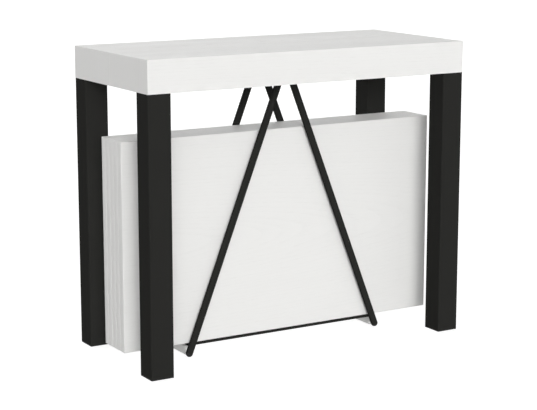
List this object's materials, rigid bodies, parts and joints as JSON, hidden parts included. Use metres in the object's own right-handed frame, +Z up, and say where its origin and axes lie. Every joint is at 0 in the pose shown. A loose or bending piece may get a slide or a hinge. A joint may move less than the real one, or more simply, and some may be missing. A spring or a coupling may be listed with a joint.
{
  "type": "extending console table",
  "caption": "Console table whose two half tops pull apart on telescopic rails, with loose leaves stored upright in a rod rack between square legs.",
  "frame": {"origin": "on the floor under the middle of the closed table", "axes": "+X along the table's long side, +Y towards its rear, +Z up; the front faces -Y"},
  "size_m": [0.9, 0.4, 0.76],
  "materials": {
    "white_ash_board": "white ash melamine, matt",
    "anthracite_coat": "matt anthracite powder coat",
    "rail_aluminium": "satin anodised",
    "zinc_steel": "zinc plated",
    "black_plastic": "matt moulded",
    "pale_plastic": "matt extruded",
    "block_wood": "sawn, oiled"
  },
  "bodies": {
    "centre": {"centre_rails": "rail_aluminium", "centre_beam": "zinc_steel", "beam_bolts": "zinc_steel", "ridge_plate": "anthracite_coat", "strut_front_left": "anthracite_coat", "strut_front_right": "anthracite_coat", "strut_rear_left": "anthracite_coat", "strut_rear_right": "anthracite_coat", "strut_feet": "black_plastic", "floor_rods": "zinc_steel", "floor_sleeves": "pale_plastic", "leaf_bars": "anthracite_coat", "bar_screws": "zinc_steel"},
    "front_half": {"front_top_panel": "white_ash_board", "front_long_apron": "white_ash_board", "front_left_apron": "white_ash_board", "front_right_apron": "white_ash_board", "front_left_leg": "anthracite_coat", "front_right_leg": "anthracite_coat", "front_leg_caps": "black_plastic", "front_corner_blocks": "block_wood", "front_leg_bolts": "zinc_steel", "front_end_rails": "rail_aluminium", "front_rail_plates": "zinc_steel", "front_plate_screws": "zinc_steel"},
    "front_stage_1": {"front_rails_1": "rail_aluminium", "front_tie_1": "zinc_steel"},
    "front_stage_2": {"front_rails_2": "rail_aluminium", "front_tie_2": "zinc_steel"},
    "front_stage_3": {"front_rails_3": "rail_aluminium", "front_tie_3": "zinc_steel"},
    "front_stage_4": {"front_rails_4": "rail_aluminium", "front_tie_4": "zinc_steel"},
    "rear_half": {"rear_top_panel": "white_ash_board", "rear_long_apron": "white_ash_board", "rear_left_apron": "white_ash_board", "rear_right_apron": "white_ash_board", "rear_left_leg": "anthracite_coat", "rear_right_leg": "anthracite_coat", "rear_leg_caps": "black_plastic", "rear_corner_blocks": "block_wood", "rear_leg_bolts": "zinc_steel", "rear_end_rails": "rail_aluminium", "rear_rail_plates": "zinc_steel", "rear_plate_screws": "zinc_steel"},
    "rear_stage_1": {"rear_rails_1": "rail_aluminium", "rear_tie_1": "zinc_steel"},
    "rear_stage_2": {"rear_rails_2": "rail_aluminium", "rear_tie_2": "zinc_steel"},
    "rear_stage_3": {"rear_rails_3": "rail_aluminium", "rear_tie_3": "zinc_steel"},
    "rear_stage_4": {"rear_rails_4": "rail_aluminium", "rear_tie_4": "zinc_steel"},
    "leaf_1": {"leaf_1": "white_ash_board"},
    "leaf_2": {"leaf_2": "white_ash_board"},
    "leaf_3": {"leaf_3": "white_ash_board"},
    "leaf_4": {"leaf_4": "white_ash_board"},
    "leaf_5": {"leaf_5": "white_ash_board"}
  },
  "joints": [
    {"name": "front_half_slide", "type": "slide", "parent": "centre", "child": "front_half", "axis": [0, -1, 0], "range_m": [0, 1.3]},
    {"name": "front_stage_1_slide", "type": "slide", "parent": "centre", "child": "front_stage_1", "axis": [0, -1, 0], "range_m": [0, 0.26]},
    {"name": "front_stage_2_slide", "type": "slide", "parent": "centre", "child": "front_stage_2", "axis": [0, -1, 0], "range_m": [0, 0.52]},
    {"name": "front_stage_3_slide", "type": "slide", "parent": "centre", "child": "front_stage_3", "axis": [0, -1, 0], "range_m": [0, 0.78]},
    {"name": "front_stage_4_slide", "type": "slide", "parent": "centre", "child": "front_stage_4", "axis": [0, -1, 0], "range_m": [0, 1.04]},
    {"name": "rear_half_slide", "type": "slide", "parent": "centre", "child": "rear_half", "axis": [0, 1, 0], "range_m": [0, 1.3]},
    {"name": "rear_stage_1_slide", "type": "slide", "parent": "centre", "child": "rear_stage_1", "axis": [0, 1, 0], "range_m": [0, 0.26]},
    {"name": "rear_stage_2_slide", "type": "slide", "parent": "centre", "child": "rear_stage_2", "axis": [0, 1, 0], "range_m": [0, 0.52]},
    {"name": "rear_stage_3_slide", "type": "slide", "parent": "centre", "child": "rear_stage_3", "axis": [0, 1, 0], "range_m": [0, 0.78]},
    {"name": "rear_stage_4_slide", "type": "slide", "parent": "centre", "child": "rear_stage_4", "axis": [0, 1, 0], "range_m": [0, 1.04]},
    {"name": "leaf_1_slide", "type": "slide", "parent": "centre", "child": "leaf_1", "axis": [-1, 0, 0], "range_m": [0, 0.95]},
    {"name": "leaf_2_slide", "type": "slide", "parent": "centre", "child": "leaf_2", "axis": [-1, 0, 0], "range_m": [0, 0.95]},
    {"name": "leaf_3_slide", "type": "slide", "parent": "centre", "child": "leaf_3", "axis": [-1, 0, 0], "range_m": [0, 0.95]},
    {"name": "leaf_4_slide", "type": "slide", "parent": "centre", "child": "leaf_4", "axis": [-1, 0, 0], "range_m": [0, 0.95]},
    {"name": "leaf_5_slide", "type": "slide", "parent": "centre", "child": "leaf_5", "axis": [-1, 0, 0], "range_m": [0, 0.95]}
  ],
  "couplings": [
    {"joint": "front_stage_1_slide", "follows": "front_half_slide", "ratio": 0.2},
    {"joint": "front_stage_2_slide", "follows": "front_half_slide", "ratio": 0.4},
    {"joint": "front_stage_3_slide", "follows": "front_half_slide", "ratio": 0.6},
    {"joint": "front_stage_4_slide", "follows": "front_half_slide", "ratio": 0.8},
    {"joint": "rear_stage_1_slide", "follows": "rear_half_slide", "ratio": 0.2},
    {"joint": "rear_stage_2_slide", "follows": "rear_half_slide", "ratio": 0.4},
    {"joint": "rear_stage_3_slide", "follows": "rear_half_slide", "ratio": 0.6},
    {"joint": "rear_stage_4_slide", "follows": "rear_half_slide", "ratio": 0.8}
  ]
}
